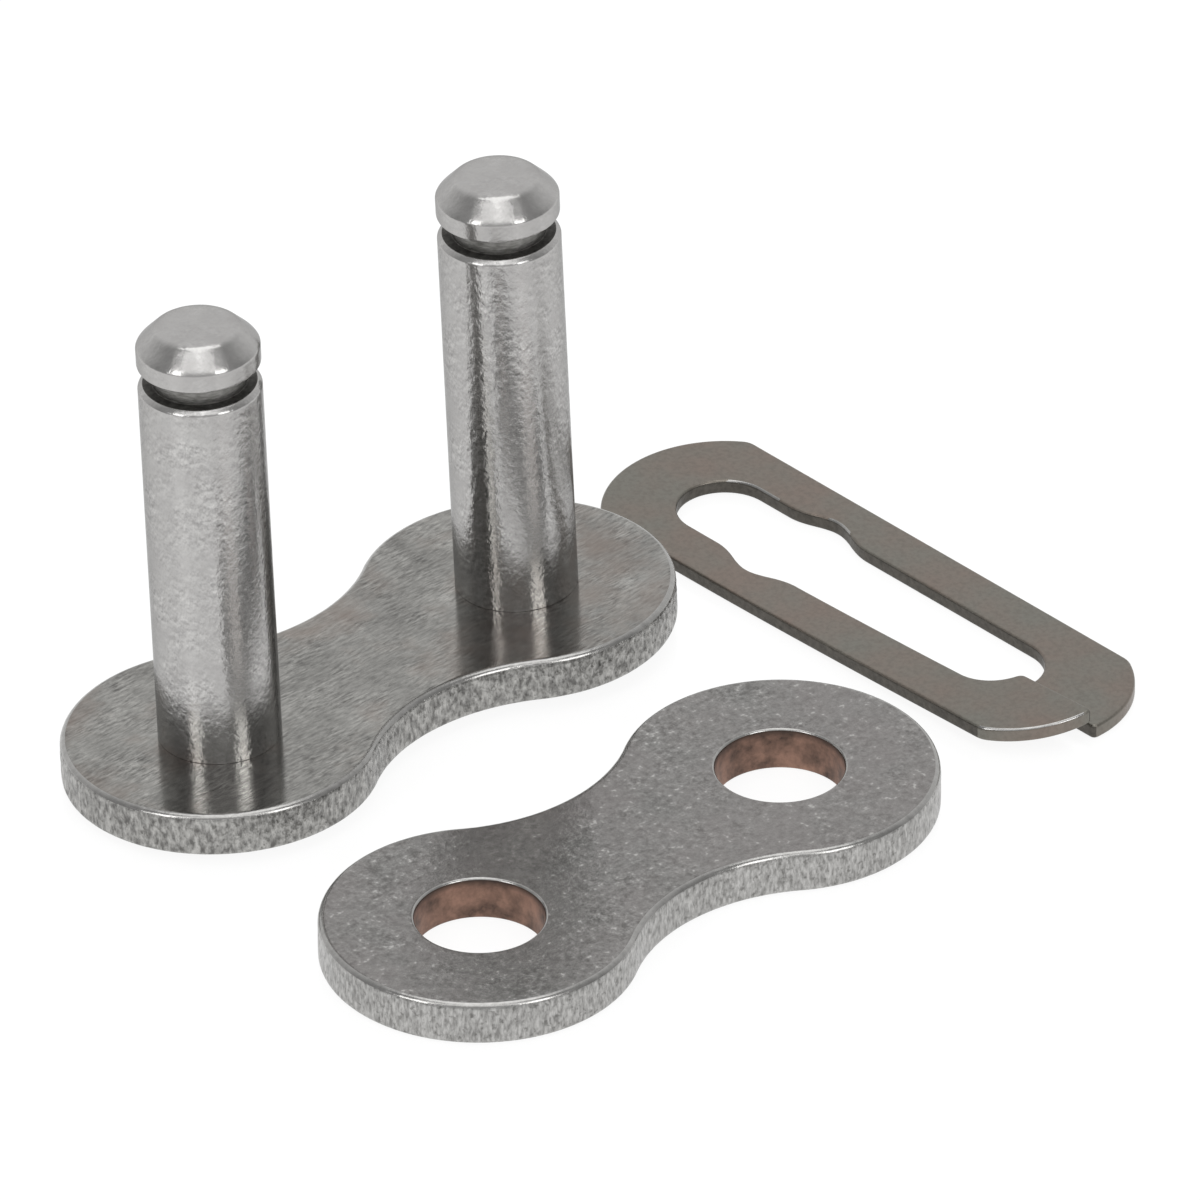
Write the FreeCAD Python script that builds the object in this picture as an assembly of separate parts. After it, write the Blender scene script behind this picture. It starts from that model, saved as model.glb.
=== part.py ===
import FreeCAD, Part
import math
import os
from FreeCAD import Placement, Rotation, Vector

# Driving dimensions, in millimetres and degrees.

# Both plates: a figure of eight whose two round ends sit on the pin centres.
pitch = 12.7
plate_height = 10.2
plate_waist = 6.3
plate_thickness = 1.5
plate_edge_break = 0.12
bore_edge_break = 0.08

# Pins: shouldered on the pin plate, with a thinner foot riveted in it and a groove for the clip.
pin_diameter = 3.96
pin_foot_diameter = 3.6
inner_link_width = 11.3
end_play = 0.24
groove_core_diameter = 3.0
groove_side_play = 0.18
head_land = 0.68
head_chamfer = 0.65
shoulder_break = 0.15
head_edge_break = 0.06

# Riveted feet: a shallow dome under each pin, the rear one standing prouder.
dome_radius = 4.0
front_dome = 0.205
rear_dome = 0.325

# Running clearance of the cover plate on the pins, measured on the radius.
cover_clearance = 0.09

# Spring clip: a stamped strip with a slot that slides into both pin grooves.
clip_thickness = 0.5
clip_width = 6.54
clip_closed_reach = 4.0
clip_closed_crown = 1.7
clip_open_reach = 4.8
clip_open_crown = 2.1
clip_slot_play = 0.05
clip_pass_play = 0.02
clip_pass_offset = 3.18
clip_corner_round = 0.35
clip_slot_blend = 0.4
clip_slit_offset = 0.3
clip_slit_gap = 0.04
clip_spring_start = 0.8
clip_spring_end = 15.0
clip_lift_outer = 0.33
clip_lift_inner = 0.56

# Where the loose pieces lie on the surface, seen from above.
plates_gap = 2.975
plates_stagger = 0.665
pin_plate_turn = 0.57
clip_gap = 0.77
clip_bearing = 1.85
clip_turn = -88.9

# Sizes that follow from the driving ones.
end_radius = plate_height / 2
half_waist = plate_waist / 2
pin_radius = pin_diameter / 2
foot_radius = pin_foot_diameter / 2
core_radius = groove_core_diameter / 2
bore_radius = pin_radius + cover_clearance
shank_top = plate_thickness + inner_link_width + plate_thickness + end_play
groove_width = clip_thickness + groove_side_play
slot_half = core_radius + clip_slot_play
pass_radius = pin_radius + clip_pass_play
clip_half = clip_width / 2
clip_tip = pitch + clip_open_reach

UP = Vector(0, 0, 1)


def flipped(point, x_sign, y_sign):
    return Vector(x_sign * point.x, y_sign * point.y, 0)


def plate_outline():
    """Two end arcs joined by two hollow waist arcs, tangent where they meet."""
    half = pitch / 2
    waist_radius = (half ** 2 + half_waist ** 2 - end_radius ** 2) / (2 * (end_radius - half_waist))
    end_centre = Vector(half, 0, 0)
    waist_centre = Vector(0, half_waist + waist_radius, 0)
    towards_waist = (waist_centre - end_centre).normalize()
    join = end_centre + towards_waist * end_radius
    tip = Vector(half + end_radius, 0, 0)
    waist = Vector(0, half_waist, 0)
    arcs = [
        Part.Arc(flipped(join, 1, -1), tip, join),
        Part.Arc(join, waist, flipped(join, -1, 1)),
        Part.Arc(flipped(join, -1, 1), flipped(tip, -1, 1), flipped(join, -1, -1)),
        Part.Arc(flipped(join, -1, -1), flipped(waist, 1, -1), flipped(join, 1, -1)),
    ]
    return Part.Wire([arc.toShape() for arc in arcs])


def is_bore_edge(edge, radius):
    return len(edge.Vertexes) == 1 and abs(edge.Curve.Radius - radius) < 1e-6


def link_plate(hole_radius, hole_edge_break):
    """A blanked link plate with its two holes, lying flat with its underside at z = 0."""
    plate = Part.Face(plate_outline()).extrude(UP * plate_thickness)
    level_edges = [e for e in plate.Edges if abs(e.Vertexes[0].Z - e.Vertexes[-1].Z) < 1e-6]
    plate = plate.makeChamfer(plate_edge_break, level_edges)
    for side in (-1, 1):
        hole_foot = Vector(side * pitch / 2, 0, -plate_thickness)
        plate = plate.cut(Part.makeCylinder(hole_radius, 3 * plate_thickness, hole_foot, UP))
    if hole_edge_break > 0:
        rims = [e for e in plate.Edges if is_bore_edge(e, hole_radius)]
        plate = plate.makeChamfer(hole_edge_break, rims)
    return plate


def pin(dome_height):
    """A turned pin standing on its riveted foot; the pin plate's underside is z = 0."""
    dome_edge = math.sqrt(dome_radius ** 2 - (dome_radius - dome_height) ** 2)
    half_edge = dome_edge / 2
    dome_middle = dome_radius - dome_height - math.sqrt(dome_radius ** 2 - half_edge ** 2)
    groove_top = shank_top + groove_width
    rim = groove_top + head_land
    top = rim + head_chamfer
    corners = [
        (dome_edge, 0),
        (foot_radius, 0),
        (foot_radius, plate_thickness),
        (pin_radius, plate_thickness),
        (pin_radius, shank_top - shoulder_break),
        (pin_radius - shoulder_break, shank_top),
        (core_radius, shank_top),
        (core_radius, groove_top),
        (pin_radius - head_edge_break, groove_top),
        (pin_radius, groove_top + head_edge_break),
        (pin_radius, rim),
        (pin_radius - head_chamfer, top),
        (0, top),
        (0, -dome_height),
    ]
    points = [Vector(r, 0, z) for r, z in corners]
    dome = Part.Arc(points[-1], Vector(half_edge, 0, dome_middle), points[0]).toShape()
    sides = [Part.makeLine(a, b) for a, b in zip(points, points[1:])]
    return Part.Face(Part.Wire([dome] + sides)).revolve(Vector(0, 0, 0), UP, 360)


def clip_outline():
    """Outer shape of the clip: parallel sides, a round closed end and a blunter open end."""
    closed_x = clip_closed_crown - clip_closed_reach
    open_x = clip_tip - clip_open_crown
    far_closed = Vector(closed_x, clip_half, 0)
    near_closed = Vector(closed_x, -clip_half, 0)
    far_open = Vector(open_x, clip_half, 0)
    near_open = Vector(open_x, -clip_half, 0)
    closed_end = Part.Arc(far_closed, Vector(-clip_closed_reach, 0, 0), near_closed).toShape()
    near_side = Part.makeLine(near_closed, near_open)
    open_end = Part.Arc(near_open, Vector(clip_tip, 0, 0), far_open).toShape()
    far_side = Part.makeLine(far_open, far_closed)
    return Part.Wire([closed_end, near_side, open_end, far_side])


def upright_edges_near(solid, places):
    """The vertical edges that stand at one of the given places in plan."""
    found = []
    for edge in solid.Edges:
        a = edge.Vertexes[0].Point
        b = edge.Vertexes[-1].Point
        if abs(a.x - b.x) > 1e-6 or abs(a.y - b.y) > 1e-6 or abs(a.z - b.z) < 1e-6:
            continue
        if any(math.hypot(a.x - x, a.y - y) < 1e-3 for x, y in places):
            found.append(edge)
    return found


def clip_prism(depth):
    """The clip's plan as a straight prism, its slot and slit cut right through."""
    blank = Part.Face(clip_outline()).extrude(UP * depth)
    outer_corners = [(v.X, v.Y) for v in blank.Vertexes if v.Z < 1e-6]
    blank = blank.makeFillet(clip_corner_round, upright_edges_near(blank, outer_corners))
    slot = Part.makeCylinder(slot_half, depth)
    slot = slot.fuse(Part.makeCylinder(slot_half, depth, Vector(pitch, 0, 0)))
    slot = slot.fuse(Part.makeBox(pitch, 2 * slot_half, depth, Vector(0, -slot_half, 0)))
    slot = slot.fuse(Part.makeCylinder(pass_radius, depth, Vector(clip_pass_offset, 0, 0)))
    slit_side = -clip_slit_offset - clip_slit_gap / 2
    slot = slot.fuse(Part.makeBox(clip_tip, clip_slit_gap, depth, Vector(pitch, slit_side, 0)))
    cut = blank.cut(slot).removeSplitter()
    reach = math.sqrt(pass_radius ** 2 - slot_half ** 2)
    waists = [
        (clip_pass_offset + side * reach, level * slot_half) for side in (-1, 1) for level in (-1, 1)
    ]
    return cut.makeFillet(clip_slot_blend, upright_edges_near(cut, waists))


def spring_lift(along, inner_share):
    """How far the sprung leg has risen: a cantilever's curve, more at the slit than outside."""
    run = max(0.0, (along - clip_spring_start) / (clip_spring_end - clip_spring_start))
    shape = run ** 2 * (3 - run) / 2 if run < 1 else 1 + 1.5 * (run - 1)
    return shape * (clip_lift_outer + (clip_lift_inner - clip_lift_outer) * inner_share)


def sprung_slab():
    """A strip of the clip's thickness that follows the sprung leg's rise."""
    outer = -clip_width
    inner = -clip_slit_offset
    per_width = 1 / (clip_half - clip_slit_offset)
    length = clip_tip + clip_thickness - clip_spring_start
    sections = []
    steps = 9
    for step in range(steps + 1):
        along = clip_spring_start + length * step / steps
        low_outer = spring_lift(along, (outer + clip_half) * per_width)
        low_inner = spring_lift(along, (inner + clip_half) * per_width)
        corners = [
            Vector(along, outer, low_outer),
            Vector(along, inner, low_inner),
            Vector(along, inner, low_inner + clip_thickness),
            Vector(along, outer, low_outer + clip_thickness),
        ]
        sections.append(Part.makePolygon(corners + corners[:1]))
    return Part.makeLoft(sections, True, False)


def spring_clip():
    """The clip lying flat on its closed end and far leg, its near leg sprung up past the slit."""
    headroom = clip_lift_inner + 2 * clip_thickness
    leg_zone = Part.makeBox(
        clip_tip, clip_width, headroom, Vector(clip_spring_start, -clip_width - clip_slit_offset, 0)
    )
    flat = clip_prism(clip_thickness).cut(leg_zone)
    tall = clip_prism(headroom + clip_lift_inner)
    near_leg = tall.common(leg_zone).common(sprung_slab())
    return flat.fuse(near_leg).removeSplitter()


def lying(x, y, turn):
    return Placement(Vector(x, y, 0), Rotation(UP, turn))


def lean_of_pin_plate():
    """The pin plate rocks on its two rivet domes until the back rim meets the surface."""
    lean = math.degrees(math.asin(front_dome / (end_radius - plate_edge_break)))
    rise = math.degrees(math.asin((rear_dome - front_dome) / pitch))
    return Rotation(Vector(1, 0, 0), -lean).multiply(Rotation(Vector(0, 1, 0), -rise))


def tight_box(shapes):
    return Part.makeCompound(shapes).optimalBoundingBox(True, False)


def build():
    link = {
        "pin_plate": link_plate(foot_radius, 0),
        "front_pin": pin(front_dome),
        "rear_pin": pin(rear_dome),
    }
    link["front_pin"].translate(Vector(-pitch / 2, 0, 0))
    link["rear_pin"].translate(Vector(pitch / 2, 0, 0))

    plate_y = plate_height + plates_gap
    stance = lying(plates_stagger, plate_y, pin_plate_turn)
    tilt = Placement(Vector(0, 0, 0), lean_of_pin_plate())
    for shape in link.values():
        shape.Placement = stance.multiply(tilt).multiply(shape.Placement)
    lowest = tight_box(list(link.values())).ZMin
    for shape in link.values():
        shape.translate(Vector(0, 0, -lowest))

    rear_lobe = stance.multVec(Vector(pitch / 2, 0, 0))
    bearing = math.radians(clip_bearing)
    reach = end_radius + clip_gap + clip_half
    clip = spring_clip()
    clip_x = rear_lobe.x + reach * math.cos(bearing)
    clip_y = rear_lobe.y + reach * math.sin(bearing)
    clip.Placement = lying(clip_x, clip_y, clip_turn)

    nodes = dict(link)
    nodes["cover_plate"] = link_plate(bore_radius, bore_edge_break)
    nodes["spring_clip"] = clip
    box = tight_box(list(nodes.values()))
    for shape in nodes.values():
        shape.translate(Vector(-box.Center.x, -box.Center.y, 0))
    return nodes


os.makedirs("parts", exist_ok=True)
for name, shape in build().items():
    shape.exportStep("parts/" + name + ".step")
    print(name, "solids", len(shape.Solids), "volume", round(shape.Volume, 3), "valid", shape.isValid())
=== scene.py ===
import math

import bpy
import numpy as np
from mathutils import Matrix, Vector
from mathutils.geometry import delaunay_2d_cdt


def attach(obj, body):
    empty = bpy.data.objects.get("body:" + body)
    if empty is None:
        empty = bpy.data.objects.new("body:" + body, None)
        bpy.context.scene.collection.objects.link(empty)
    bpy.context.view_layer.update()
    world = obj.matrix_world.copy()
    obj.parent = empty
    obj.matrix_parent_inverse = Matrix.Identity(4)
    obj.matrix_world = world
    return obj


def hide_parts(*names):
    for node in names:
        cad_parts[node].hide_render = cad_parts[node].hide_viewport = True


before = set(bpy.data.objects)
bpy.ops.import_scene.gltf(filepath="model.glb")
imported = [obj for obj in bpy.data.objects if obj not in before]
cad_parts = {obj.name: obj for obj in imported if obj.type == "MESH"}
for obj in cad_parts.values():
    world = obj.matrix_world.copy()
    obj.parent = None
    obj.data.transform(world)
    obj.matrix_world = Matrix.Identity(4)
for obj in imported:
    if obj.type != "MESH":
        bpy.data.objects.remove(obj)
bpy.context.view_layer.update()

# Lengths are in millimetres until a mesh or a place is written, which is in metres.
MM = 0.001


# Pin plate. A figure-of-eight link plate blanked from cold-rolled carbon steel strip, tumbled in a
# barrel and oiled. It lies on its two riveted pin feet, so it leans back a little until its far rim
# meets the surface.

PITCH = 12.7
PLATE_HEIGHT = 10.2
PLATE_WAIST = 6.3
PLATE_THICKNESS = 1.5
PLATE_EDGE = 0.22
HOLE_EDGE = 0.1
PIN_FOOT_RADIUS = 1.8
PIN_PLATE_CENTRE = (-3.4668, 6.5284, 0.2703)
PIN_PLATE_TURN = 0.57
PIN_PLATE_LEAN = -2.3593
PIN_PLATE_RISE = -0.5414

# How finely lines are drawn: points on an arc before they are spaced evenly, and the spacing.
TIP_POINTS = 600
WAIST_POINTS = 300
HOLE_POINTS = 720
PLATE_CELL = 0.055
FOOT_HOLE_CELL = 0.12

# Steps round an edge and how many of the upper ones are worn and painted light as a highlight,
# how far in the flat face starts as a share of the edge's rounding, and how far apart a face's
# points and their rows are, in cells and as a share of that.
EDGE_STEPS = 8
WORN_HIGHLIGHT_STEPS = 4
FLAT_START = 1.3
FACE_SPACING = 5
FACE_ROW_SHARE = 0.866

# A sheared wall's tears and pits, and how strong and how tall the tears are on this plate.
TEAR_WIDTH = 0.06
TEAR_DEPTH = 0.0045
PIT_HEIGHT = 0.11
PIT_WIDTH = 0.07
PIT_DEPTH = 0.012
PIN_PLATE_TORN = 1.3
HAMMERED_TEAR_HEIGHT = 0.1


def evenly(points, spacing):
    """The same closed line with its points a given distance apart."""
    ring = np.vstack([points, points[:1]])
    length = np.concatenate([[0], np.cumsum(np.hypot(*np.diff(ring, axis=0).T))])
    at = np.linspace(0, length[-1], round(length[-1] / spacing), endpoint=False)
    return np.column_stack([np.interp(at, length, ring[:, 0]), np.interp(at, length, ring[:, 1])])


def plate_outline(spacing):
    """The figure of eight, anticlockwise: two end arcs joined by two hollow waist arcs."""
    half = PITCH / 2
    end = PLATE_HEIGHT / 2
    waist = PLATE_WAIST / 2
    hollow = (half**2 + waist**2 - end**2) / (2 * (end - waist))
    join = math.atan2(waist + hollow, -half)
    turn = np.linspace(-join, join, TIP_POINTS)
    swing = np.linspace(join - math.pi, -join, WAIST_POINTS)[1:-1]
    tip = np.column_stack([half + end * np.cos(turn), end * np.sin(turn)])
    side = np.column_stack([hollow * np.cos(swing), waist + hollow + hollow * np.sin(swing)])
    return evenly(np.vstack([tip, side, -tip, -side]), spacing)


def hole_outline(centre_x, radius, spacing):
    """A round hole's line, clockwise, so that the metal lies on its left as on the outline's."""
    turn = np.linspace(0, -2 * math.pi, HOLE_POINTS, endpoint=False)
    circle = np.column_stack([centre_x + radius * np.cos(turn), radius * np.sin(turn)])
    return evenly(circle, spacing)


def outward(ring):
    """Unit directions that point out of the metal at each point of a line."""
    along = np.roll(ring, -1, axis=0) - np.roll(ring, 1, axis=0)
    along /= np.hypot(*along.T)[:, None]
    return np.column_stack([along[:, 1], -along[:, 0]])


def inside(points, rings):
    """Which points lie in the metal: inside the outline and outside every hole."""
    hits = np.zeros(len(points), bool)
    x, y = points[:, :1], points[:, 1:]
    for ring in rings:
        (x0, y0), (x1, y1) = ring.T, np.roll(ring, -1, axis=0).T
        crosses = (y0 > y) != (y1 > y)
        reach = x0 + (y - y0) * (x1 - x0) / np.where(y1 == y0, 1, y1 - y0)
        hits ^= (crosses & (x < reach)).sum(axis=1) % 2 == 1
    return hits


def mottle(rows, columns, tall, wide, seed):
    """Unit noise that closes on itself, with blobs of a given height and width in cells."""
    white = np.random.default_rng(seed).standard_normal((rows, columns))
    up = np.fft.fftfreq(rows)[:, None] * tall
    across = np.fft.fftfreq(columns)[None, :] * wide
    noise = np.fft.ifft2(np.fft.fft2(white) * np.exp(-2 * math.pi**2 * (up**2 + across**2))).real
    return noise / noise.std()


def sheared_wall(rows, columns, cell, tear_height, seed):
    """How far a blanked wall stands in: upright tears and broken pits, fading at both edges."""
    tears = mottle(rows, columns, tear_height / cell, TEAR_WIDTH / cell, seed)
    pits = mottle(rows, columns, PIT_HEIGHT / cell, PIT_WIDTH / cell, seed + 1)
    depth = TEAR_DEPTH * tears + PIT_DEPTH * np.clip(pits - 0.5, 0, 2)
    from_edge = np.minimum(np.arange(rows), np.arange(rows)[::-1])
    return (depth - depth.mean()) * np.clip(0.15 + from_edge / 4, 0, 1)[:, None]


def wall_steps(edge, thickness, cell):
    """A wall's steps from bottom to top as inset and height: a flat border, a rounded edge, the
    wall itself, and the same upside down. Also the numbers of the wall's first and last step."""
    turn = np.linspace(0, math.pi / 2, EDGE_STEPS)
    lower = [(FLAT_START * edge, 0.0)]
    lower += [(edge * (1 - math.sin(t)), edge * (1 - math.cos(t))) for t in turn]
    upper = [(inset, thickness - z) for inset, z in reversed(lower)]
    heights = np.linspace(edge, thickness - edge, max(3, round(thickness / cell)))
    steps = lower + [(0.0, z) for z in heights[1:-1]] + upper
    first = len(lower) - 1
    return steps, first, first + len(heights) - 1


def spread_inside(edge_lines, pitch):
    """Points on a grid of triangles inside the lines, none of them close to a line."""
    low, high = edge_lines[0].min(axis=0), edge_lines[0].max(axis=0)
    row_pitch = pitch * FACE_ROW_SHARE
    across, along = np.meshgrid(
        np.arange(low[0], high[0], pitch), np.arange(low[1], high[1], row_pitch)
    )
    across = across + (np.arange(len(across)) % 2)[:, None] * pitch / 2
    middle = np.column_stack([across.ravel(), along.ravel()])
    middle = middle[inside(middle, edge_lines)]
    rim = np.vstack(edge_lines)[None, ::2, :]
    apart = np.min(np.hypot(*(middle[:, None, :] - rim).transpose(2, 0, 1)), axis=1)
    return middle[apart > pitch * 0.5]


def filled(edge_lines, middle):
    """Triangles over the metal, as numbers into the lines' points followed by the middle ones."""
    flat = np.vstack([*edge_lines, middle])
    sides, begin = [], 0
    for ring in edge_lines:
        here = begin + np.arange(len(ring))
        sides += list(zip(here.tolist(), np.roll(here, -1).tolist()))
        begin += len(ring)
    made = delaunay_2d_cdt([Vector(p) for p in flat.tolist()], sides, [], 1, 1e-7)
    place = np.array([given[0] for given in made[3]])
    triangles = place[np.array(made[2])]
    return triangles[inside(flat[triangles].mean(axis=1), edge_lines)]


def smooth_piece(name, points, faces, skins):
    """An object of smooth faces, its points given in millimetres and its materials by number."""
    mesh = bpy.data.meshes.new(name)
    mesh.from_pydata((points * MM).tolist(), [], faces)
    mesh.polygons.foreach_set("material_index", np.array(skins, np.int32))
    mesh.polygons.foreach_set("use_smooth", np.ones(len(mesh.polygons), bool))
    mesh.update()
    piece = bpy.data.objects.new(name, mesh)
    bpy.context.scene.collection.objects.link(piece)
    return piece


def stamping(name, rings, thickness, cell, tear_height, seed, bend=None):
    """A flat blanked part. Each ring is a line, the rounding of its edges and how torn its wall is.
    Its materials are the face, the outer wall, the holes' walls and the worn upper edge, which is
    painted lighter as a highlight."""
    face, worn_highlight_edge = 0, 3
    points, faces, skins, tops, bottoms = [], [], [], [], []
    start = 0
    for number, (ring, edge, torn) in enumerate(rings):
        steps, first, last = wall_steps(edge, thickness, cell)
        count = len(ring)
        out = outward(ring)
        rows = last + 1 - first
        depth = np.zeros((len(steps), count))
        depth[first : last + 1] = torn * sheared_wall(rows, count, cell, tear_height, seed + number)
        depth[:first] = depth[first]
        depth[last + 1 :] = depth[last]
        for (inset, z), sunk in zip(steps, depth):
            plan = ring - out * (inset + sunk)[:, None]
            points.append(np.column_stack([plan, np.full(count, z)]))
        here = np.arange(count)
        after = np.roll(here, -1)
        wall = min(number, 1) + 1
        for row in range(len(steps) - 1):
            low = start + row * count
            high = low + count
            faces.append(np.column_stack([low + here, low + after, high + after, high + here]))
            skin = wall if 1 <= row < last + 2 else face
            # The worn rows are painted light as a highlight.
            skin = worn_highlight_edge if last + 2 <= row < last + 2 + WORN_HIGHLIGHT_STEPS else skin
            skins.append(np.full(count, skin))
        bottoms.append(start + here)
        tops.append(start + (len(steps) - 1) * count + here)
        start += len(steps) * count
    points = np.vstack(points)

    edge_lines = [points[top, :2] for top in tops]
    middle = spread_inside(edge_lines, FACE_SPACING * cell)
    triangles = filled(edge_lines, middle)
    faces = np.vstack(faces).tolist()
    for edges, z, flip in ((tops, thickness, 1), (bottoms, 0.0, -1)):
        extra = len(points) + np.arange(len(middle))
        points = np.vstack([points, np.column_stack([middle, np.full(len(middle), z)])])
        faces += np.concatenate([*edges, extra])[triangles][:, ::flip].tolist()
        skins.append(np.full(len(triangles), face))
    if bend is not None:
        points[:, 2] += bend(points[:, 0], points[:, 1])
    return smooth_piece(name, points, faces, np.concatenate(skins))


def linear(code):
    """An sRGB hex colour as the linear RGBA that the shaders take."""
    parts = [int(code[i : i + 2], 16) / 255 for i in (1, 3, 5)]
    return [c / 12.92 if c <= 0.04045 else ((c + 0.055) / 1.055) ** 2.4 for c in parts] + [1.0]


def add(tree, kind, inputs=None, **settings):
    """Adds a node with its settings; each input takes a value or another node's output. Inputs go
    by name or number: 1 to 4 are a range's from and to, and 0, 6, 7 a mix's share and colours."""
    node = tree.nodes.new(kind)
    for name, value in settings.items():
        setattr(node, name, value)
    for name, value in (inputs or {}).items():
        if isinstance(value, bpy.types.NodeSocket):
            tree.links.new(value, node.inputs[name])
        else:
            node.inputs[name].default_value = value
    return node


def new_material(name):
    """A material whose nodes are still to be added."""
    material = bpy.data.materials.new(name)
    material.use_nodes = True
    material.node_tree.nodes.clear()
    return material


def in_patches(tree, where, marks, patch_size, least):
    """Noise centred on zero, fading to a given share between patches, as a barrel leaves marks."""
    patches = add(
        tree,
        "ShaderNodeTexNoise",
        {"Vector": where, "Scale": 1 / (patch_size * MM), "Detail": 2.0, "Roughness": 0.6},
    ).outputs["Fac"]
    strength = add(
        tree, "ShaderNodeMapRange", {"Value": patches, 1: 0.44, 2: 0.64, 3: least, 4: 1.0}
    ).outputs[0]
    centred = add(tree, "ShaderNodeMath", {0: marks, 1: 0.5}, operation="SUBTRACT").outputs[0]
    return add(tree, "ShaderNodeMath", {0: centred, 1: strength}, operation="MULTIPLY").outputs[0]


# Cold-rolled carbon steel, tumbled and oiled: grey, half dull, with a grain along the strip that
# shows in patches as short light and dark streaks, a faint cloudy tone, and brown bloom in broad
# patches.
GRAIN_ANGLE = 3
GRAIN_SIZE = (0.45, 0.11, 0.3)
rolled_steel = new_material("rolled_carbon_steel_tumbled")
tree = rolled_steel.node_tree
where = add(tree, "ShaderNodeTexCoord").outputs["Object"]
strip = add(
    tree,
    "ShaderNodeMapping",
    {
        "Vector": where,
        "Rotation": (0, 0, math.radians(GRAIN_ANGLE)),
        "Scale": [1 / (size * MM) for size in GRAIN_SIZE],
    },
)
grain = add(
    tree,
    "ShaderNodeTexNoise",
    {"Vector": strip.outputs["Vector"], "Scale": 1.0, "Detail": 4.0, "Roughness": 0.7},
).outputs["Fac"]
bloom = add(
    tree,
    "ShaderNodeTexNoise",
    {"Vector": where, "Scale": 1 / (3.0 * MM), "Detail": 4.0, "Roughness": 0.6},
).outputs["Fac"]
bloom_share = add(
    tree, "ShaderNodeMapRange", {"Value": bloom, 1: 0.5, 2: 0.72, 3: 0.0, 4: 0.7}
).outputs[0]
streaks = in_patches(tree, where, grain, patch_size=1.3, least=0.5)
cloud = add(
    tree,
    "ShaderNodeTexNoise",
    {"Vector": where, "Scale": 1 / (1.8 * MM), "Detail": 5.0, "Roughness": 0.65},
).outputs["Fac"]
streaks = add(
    tree, "ShaderNodeMath", {0: cloud, 1: 0.36, 2: streaks}, operation="MULTIPLY_ADD"
).outputs[0]
grain_share = add(
    tree, "ShaderNodeMapRange", {"Value": streaks, 1: 0.0, 2: 0.37, 3: 0.0, 4: 1.0}
).outputs[0]
streaked = add(
    tree,
    "ShaderNodeMix",
    {0: grain_share, 6: linear("#5a5957"), 7: linear("#b0afab")},
    data_type="RGBA",
).outputs[2]
tinted = add(
    tree,
    "ShaderNodeMix",
    {0: bloom_share, 6: streaked, 7: linear("#867b74")},
    data_type="RGBA",
).outputs[2]
dulled = add(
    tree, "ShaderNodeMapRange", {"Value": grain, 1: 0.25, 2: 0.75, 3: 0.17, 4: 0.1}
).outputs[0]
scratched = add(
    tree, "ShaderNodeBump", {"Height": grain, "Strength": 1.0, "Distance": 0.0025 * MM}
).outputs["Normal"]
surface = add(
    tree,
    "ShaderNodeBsdfPrincipled",
    {"Base Color": tinted, "Metallic": 1.0, "Roughness": dulled, "Normal": scratched},
)
add(tree, "ShaderNodeOutputMaterial", {"Surface": surface.outputs["BSDF"]})


def sheared_carbon_steel(name, dark, light, tear_width, tear_height, relief):
    """The same steel where the punch sheared and tore it: light and dark marks, and dark pits."""
    steel = new_material(name)
    tree = steel.node_tree
    where = add(tree, "ShaderNodeTexCoord").outputs["Object"]
    upright = add(
        tree,
        "ShaderNodeMapping",
        {
            "Vector": where,
            "Scale": [1 / (size * MM) for size in (tear_width, tear_width, tear_height)],
        },
    )
    tears = add(
        tree,
        "ShaderNodeTexNoise",
        {"Vector": upright.outputs["Vector"], "Scale": 1.0, "Detail": 3.0, "Roughness": 0.6},
    ).outputs["Fac"]
    pits = add(
        tree,
        "ShaderNodeTexNoise",
        {"Vector": where, "Scale": 1 / (0.2 * MM), "Detail": 2.0, "Roughness": 0.6},
    ).outputs["Fac"]
    tear_share = add(
        tree, "ShaderNodeMapRange", {"Value": tears, 1: 0.34, 2: 0.66, 3: 0.0, 4: 1.0}
    ).outputs[0]
    pit_share = add(
        tree, "ShaderNodeMapRange", {"Value": pits, 1: 0.57, 2: 0.7, 3: 0.0, 4: 0.6}
    ).outputs[0]
    torn = add(
        tree,
        "ShaderNodeMix",
        {0: tear_share, 6: linear(dark), 7: linear(light)},
        data_type="RGBA",
    ).outputs[2]
    pitted = add(
        tree,
        "ShaderNodeMix",
        {0: pit_share, 6: torn, 7: linear("#5a5956")},
        data_type="RGBA",
    ).outputs[2]
    rough = add(
        tree, "ShaderNodeBump", {"Height": tears, "Strength": 1.0, "Distance": relief * MM}
    ).outputs["Normal"]
    surface = add(
        tree,
        "ShaderNodeBsdfPrincipled",
        {"Base Color": pitted, "Metallic": 1.0, "Roughness": 0.3, "Normal": rough},
    )
    add(tree, "ShaderNodeOutputMaterial", {"Surface": surface.outputs["BSDF"]})
    return steel


# The pin plate's wall, darker than the cover's: tumbling hammered its tears wider and deeper.
hammered_steel = sheared_carbon_steel(
    "carbon_steel_sheared_and_hammered",
    "#6b6a68",
    "#b5b4b1",
    tear_width=0.16,
    tear_height=0.34,
    relief=0.08,
)

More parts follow.
